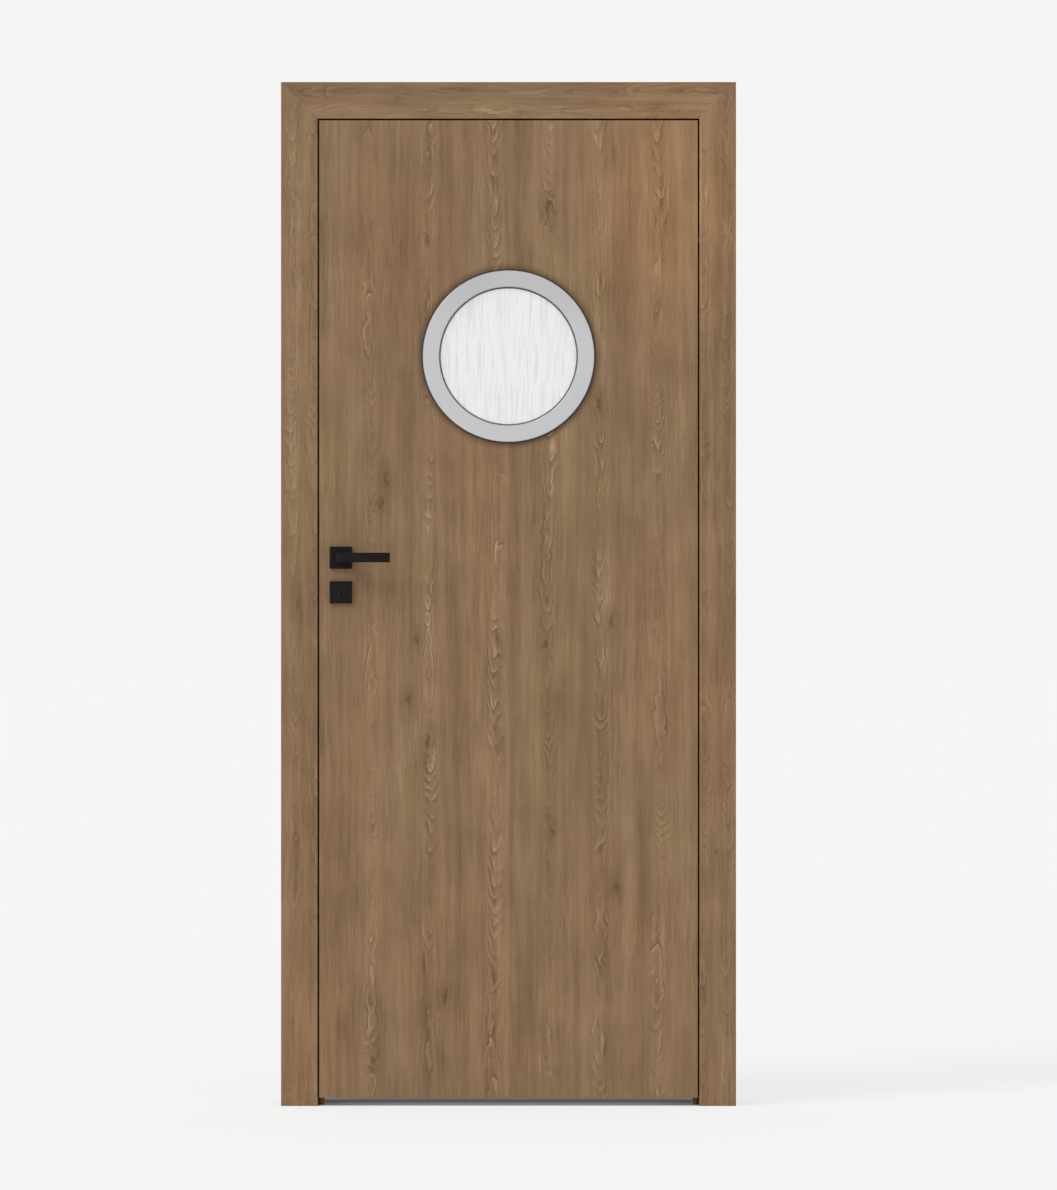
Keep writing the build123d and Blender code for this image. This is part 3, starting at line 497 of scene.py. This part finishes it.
def glass():
    """Obscured glass with an upright rippled pattern, like bark; its grooves are painted a little darker
    as shade.
    """
    g = material("patterned_glass")
    axes = g.place()
    drift = g.swing(g.grain(axes["X"], axes["Z"], layer=(30.0, 14.0, 1.0)), amount=0.008)
    ripple = g.grain(g.total(axes["X"], drift), axes["Z"], layer=(290.0, 10.0, 2.0))
    groove = g.step(ripple, start=0.50, end=0.36)
    crest = g.step(ripple, start=0.54, end=0.70)
    relief = g.gap(crest, groove)
    # Painted shade: the grooves are coloured a little darker, standing in for the shading their
    # refraction gives.
    stops = [(0.0, linear(237, 238, 239)), (0.5, linear(254, 254, 254)), (1.0, linear(255, 255, 255))]
    return g.surface(
        Base_Color=g.ramp(g.total(0.5, g.scaled(relief, 0.5)), stops),
        Roughness=g.total(0.42, g.scaled(crest, 0.12)),
        Normal=g.bump(relief, depth=0.0004, strength=0.4),
        Transmission_Weight=0.9,
        IOR=1.5,
    )


def elastomer(name, dark, pale):
    """Matt elastomer with a faint bloom, between two colours."""
    g = material(name)
    bloom = g.noise(scale=80.0, detail=4.0)
    return g.surface(
        Base_Color=g.ramp(bloom, [(0.3, dark), (0.7, pale)]),
        Roughness=g.total(0.67, g.swing(bloom, amount=0.2)),
        Normal=g.bump(g.noise(scale=2000.0), depth=0.00008, strength=0.6),
    )


def powder_coat():
    """Matt black powder coat with a fine orange-peel skin."""
    g = material("black_powder_coat")
    peel = g.noise(scale=1500.0, detail=1.0)
    cloud = g.noise(scale=45.0, detail=3.0)
    return g.surface(
        Base_Color=g.ramp(cloud, [(0.3, linear(16, 13, 14)), (0.7, linear(22, 19, 20))]),
        Roughness=g.total(0.5, g.swing(cloud, amount=0.12), g.swing(peel, amount=0.1)),
        Specular_IOR_Level=0.14,
        Normal=g.bump(peel, depth=0.00006, strength=0.6),
    )


def lock_metal():
    """Black satin metal, finely brushed upright."""
    g = material("black_lock_metal")
    axes = g.place()
    brush = g.grain(g.total(axes["X"], axes["Y"]), axes["Z"], layer=(2400.0, 30.0, 2.0))
    wear = g.noise(scale=70.0, detail=4.0)
    return g.surface(
        Base_Color=g.ramp(wear, [(0.35, linear(31, 33, 33)), (0.75, linear(46, 47, 47))]),
        Metallic=0.4,
        Roughness=g.total(0.36, g.swing(brush, amount=0.2)),
        Normal=g.bump(brush, depth=0.00003, strength=0.5),
    )


def moulded_plastic():
    """Black moulded nylon with a fine spark-eroded grain."""
    g = material("moulded_nylon")
    grain = g.noise(scale=3200.0)
    flow = g.noise(scale=35.0, detail=3.0)
    return g.surface(
        Base_Color=g.ramp(flow, [(0.3, linear(36, 36, 37)), (0.7, linear(44, 44, 45))]),
        Roughness=g.total(0.6, g.swing(grain, amount=0.2)),
        Normal=g.bump(grain, depth=0.00005, strength=0.7),
    )


def plated_steel():
    """Zinc-plated steel with a faint spangle."""
    g = material("zinc_plated_steel")
    spangle = g.cells(scale=500.0)
    haze = g.noise(scale=150.0, detail=4.0)
    tone = g.mixed(spangle, haze, share=0.35)
    return g.surface(
        Base_Color=g.ramp(tone, [(0.25, linear(160, 161, 160)), (0.75, linear(184, 183, 178))]),
        Metallic=1.0,
        Roughness=g.total(0.30, g.swing(haze, amount=0.25), g.swing(spangle, amount=0.08)),
        Normal=g.bump(haze, depth=0.00004, strength=0.5),
    )


def cast_alloy():
    """Satin die-cast alloy with a fine blasted grain."""
    g = material("satin_cast_alloy")
    blast = g.noise(scale=2600.0)
    haze = g.noise(scale=80.0, detail=4.0)
    return g.surface(
        Base_Color=g.ramp(haze, [(0.3, linear(140, 141, 140)), (0.7, linear(156, 156, 153))]),
        Metallic=0.9,
        Roughness=g.total(0.42, g.swing(blast, amount=0.16), g.swing(haze, amount=0.12)),
        Normal=g.bump(blast, depth=0.00005, strength=0.6),
    )


# Dressing


def wood_finishes():
    """The decor of the leaf, of the upright pieces and of the heads."""
    return {
        "leaf": wood("leaf_wood_decor", "X", "Z", LEAF_COLUMNS, LEAF_KNOTS, LEAF_FIGURE),
        "upright": wood("upright_wood_decor", "X", "Z", UPRIGHT_COLUMNS, UPRIGHT_KNOTS, FRAME_FIGURE),
        "head": wood("head_wood_decor", "Z", "X", HEAD_COLUMNS, HEAD_KNOTS, FRAME_FIGURE),
    }


def slot_finishes():
    """The finish of each other material slot of the record, and of the glazing rubber."""
    return {
        "chipboard": chipboard(),
        "ring_metal": ring_metal(),
        "patterned_glass": glass(),
        "brown_seal": elastomer("brown_seal", linear(150, 98, 54), linear(168, 112, 64)),
        "rubber": elastomer("dark_rubber", linear(46, 38, 33), linear(58, 49, 43)),
        "glazing_rubber": elastomer("grey_glazing_rubber", linear(92, 90, 90), linear(106, 104, 103)),
        "black_metal": powder_coat(),
        "black_lock_metal": lock_metal(),
        "base_plastic": moulded_plastic(),
        "steel": plated_steel(),
        "hinge_metal": cast_alloy(),
    }


def finish_of(node, slot, woods, finishes):
    """The finish that a node takes."""
    if node in GLAZING_NODES:
        return finishes["glazing_rubber"]
    if slot != "wood_decor":
        return finishes[slot]
    if node in LEAF_NODES:
        return woods["leaf"]
    return woods["head"] if "head" in node else woods["upright"]


def dress():
    """Give every node of the frame its material, and add the key barrel."""
    woods = wood_finishes()
    finishes = slot_finishes()
    slots = {part["node"]: part["material_slot"] for part in frame["record"]["subparts"]}
    for name, piece in frame["nodes"].items():
        piece.data.materials.clear()
        piece.data.materials.append(finish_of(name, slots[name], woods, finishes))
    make_key_barrel(finishes["black_lock_metal"])


# Key barrel


def lobe(angle, radius, half_width, reach):
    """Radius of a round with a straight lobe below it, as a keyhole has."""
    down = -math.sin(angle)
    if down <= 0:
        return radius
    sideways = max(abs(math.cos(angle)), SMALLEST_COSINE)
    return max(radius, min(half_width / sideways, reach / down))


def lobed_ring(mesh, y, radius, half_width, reach):
    """Ring of points round the key's axis at one depth."""
    ring = []
    for step in range(BARREL_POINTS):
        angle = 2 * math.pi * (step + 0.5) / BARREL_POINTS
        size = lobe(angle, radius, half_width, reach)
        ring.append(mesh.verts.new((size * math.cos(angle), y, size * math.sin(angle))))
    return ring


def barrel_rings(mesh):
    """Rings from the front keyway's end, out over the barrel and in to the back keyway's end."""
    half, web, edge = BARREL_LENGTH / 2, BARREL_WEB / 2, BARREL_CHAMFER
    eased = [size - edge for size in BARREL_SIZES]
    return [
        lobed_ring(mesh, -web, *KEYWAY_SIZES),
        lobed_ring(mesh, -half, *KEYWAY_SIZES),
        lobed_ring(mesh, -half, *eased),
        lobed_ring(mesh, edge - half, *BARREL_SIZES),
        lobed_ring(mesh, half - edge, *BARREL_SIZES),
        lobed_ring(mesh, half, *eased),
        lobed_ring(mesh, half, *KEYWAY_SIZES),
        lobed_ring(mesh, web, *KEYWAY_SIZES),
    ]


def barrel_mesh():
    """Closed mesh of the barrel, about the origin."""
    mesh = bmesh.new()
    rings = barrel_rings(mesh)
    for first, second in zip(rings, rings[1:]):
        for corners in zip(first, first[1:] + first[:1], second[1:] + second[:1], second):
            mesh.faces.new(corners)
    mesh.faces.new(rings[0])
    mesh.faces.new(rings[-1])
    bmesh.ops.recalc_face_normals(mesh, faces=mesh.faces)
    data = bpy.data.meshes.new("key_barrel")
    mesh.to_mesh(data)
    mesh.free()
    return data


def make_key_barrel(finish):
    """Barrel inside the lock, with a keyway in each face and a web between them."""
    data = barrel_mesh()
    data.materials.append(finish)
    barrel = bpy.data.objects.new("key_barrel", data)
    barrel.location = KEY_AXIS
    bpy.context.scene.collection.objects.link(barrel)
    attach(barrel, "leaf")


# Studio


def seen_directly(g):
    """1 where a ray comes from the camera, or from it by a reflection or through glass."""
    path = g.add("LightPath").outputs
    camera = g.math("MAXIMUM", path["Is Camera Ray"], path["Is Glossy Ray"])
    return g.math("MAXIMUM", camera, path["Is Transmission Ray"])


def doorway_open(g):
    """1 where the floor is free forwards, 0 where the shut leaf stands there."""
    tilt = math.radians(SHADE_TILT)
    forwards = g.vector(0.0, -math.sin(tilt), math.cos(tilt))
    sockets = {"Distance": SHADE_REACH, "Normal": forwards}
    free = g.add("AmbientOcclusion", sockets).outputs["AO"]
    return g.step(free, *SHADE_OPEN)


def doorway_edge(g, axes):
    """0 on the floor behind the shut leaf, 1 ahead of it, a little way off and in an open doorway."""
    beside = g.gap(g.math("ABSOLUTE", axes["X"]), PASSAGE_HALF)
    behind = g.gap(axes["Y"], SHADE_END)
    sideways = g.scaled(g.math("MAXIMUM", beside, 0.0), 1 / SHADE_SIDE)
    back = g.scaled(g.math("MAXIMUM", behind, 0.0), 1 / SHADE_FADE)
    outside = g.step(g.reach(sideways, back), start=0.0, end=1.0)
    ahead = g.step(axes["Y"], start=FRONT, end=FRONT - SHADE_EDGE)
    return g.math("MAXIMUM", doorway_open(g), g.math("MAXIMUM", ahead, outside))


def doorway_shade(g, axes):
    """Painted shade on the floor in the doorway, darker towards the back."""
    share = g.scaled(g.gap(axes["Y"], FRONT), 1 / (SHADE_END - FRONT))
    greys = [(at, (level, level, level, 1.0)) for at, level in SHADE_STOPS]
    return g.ramp(share, greys)


def floor_material():
    """Pale floor: a painted shade in the doorway, and level with the backdrop away from it."""
    g = material("studio_floor")
    axes = g.place()
    clear = doorway_edge(g, axes)
    # Painted shade: the floor's colour is darkened in the doorway behind the shut leaf.
    shade = g.blend(clear, doorway_shade(g, axes), WHITE)
    speckle = g.noise(scale=40.0, detail=4.0)
    colour = g.ramp(speckle, [(0.0, linear(241, 241, 241)), (1.0, linear(247, 247, 247))])
    plain = g.add("BsdfDiffuse", {"Color": g.blend(1.0, colour, shade, "MULTIPLY")})
    level = (FLOOR_LEVEL, FLOOR_LEVEL, FLOOR_LEVEL, 1.0)
    glow = g.add("Emission", {"Color": level, "Strength": 1.0})
    share = g.scaled(g.scaled(g.math("POWER", clear, GLOW_FALL), FLOOR_GLOW), seen_directly(g))
    g.finish(g.add("MixShader", {0: share, 1: plain.outputs[0], 2: glow.outputs[0]}).outputs[0])
    return g.owner


def make_floor():
    """Wide pale floor."""
    half = FLOOR_HALF
    corners = [(-half, -half, 0), (half, -half, 0), (half, half, 0), (-half, half, 0)]
    mesh = bpy.data.meshes.new("studio_floor")
    mesh.from_pydata(corners, [], [(0, 1, 2, 3)])
    mesh.materials.append(floor_material())
    floor = bpy.data.objects.new("studio_floor", mesh)
    bpy.context.scene.collection.objects.link(floor)


def make_world():
    """Even white surroundings."""
    world = bpy.data.worlds.new("studio")
    bpy.context.scene.world = world
    g = Graph(world)
    level = g.total(g.scaled(seen_directly(g), BACKDROP - WORLD_LEVEL), WORLD_LEVEL)
    back = g.add("Background", {"Color": WHITE, "Strength": level})
    g.add("OutputWorld", {"Surface": back.outputs[0]})


def make_sun():
    """Soft key light from the front left."""
    lamp = bpy.data.lights.new("key_light", "SUN")
    lamp.energy = SUN_STRENGTH
    lamp.angle = math.radians(SUN_ANGLE)
    sun = bpy.data.objects.new("key_light", lamp)
    sun.rotation_euler = (math.radians(90.0 - SUN_HEIGHT), 0.0, math.radians(-SUN_HEADING))
    bpy.context.scene.collection.objects.link(sun)


def make_camera():
    """Camera square on to the lock face, framed as in the photograph."""
    lens = bpy.data.cameras.new("camera")
    lens.sensor_width = SENSOR_MM
    lens.lens = SENSOR_MM * CAMERA_DISTANCE / VIEW_HEIGHT
    lens.clip_end = 4 * FLOOR_HALF
    camera = bpy.data.objects.new("camera", lens)
    camera.location = (VIEW_CENTRE[0], FRONT - CAMERA_DISTANCE, VIEW_CENTRE[1])
    camera.rotation_euler = (math.radians(90.0), 0.0, 0.0)
    bpy.context.scene.collection.objects.link(camera)
    bpy.context.scene.camera = camera


dress()
make_floor()
make_world()
make_sun()
make_camera()
bpy.context.scene.view_settings.view_transform = "Standard"
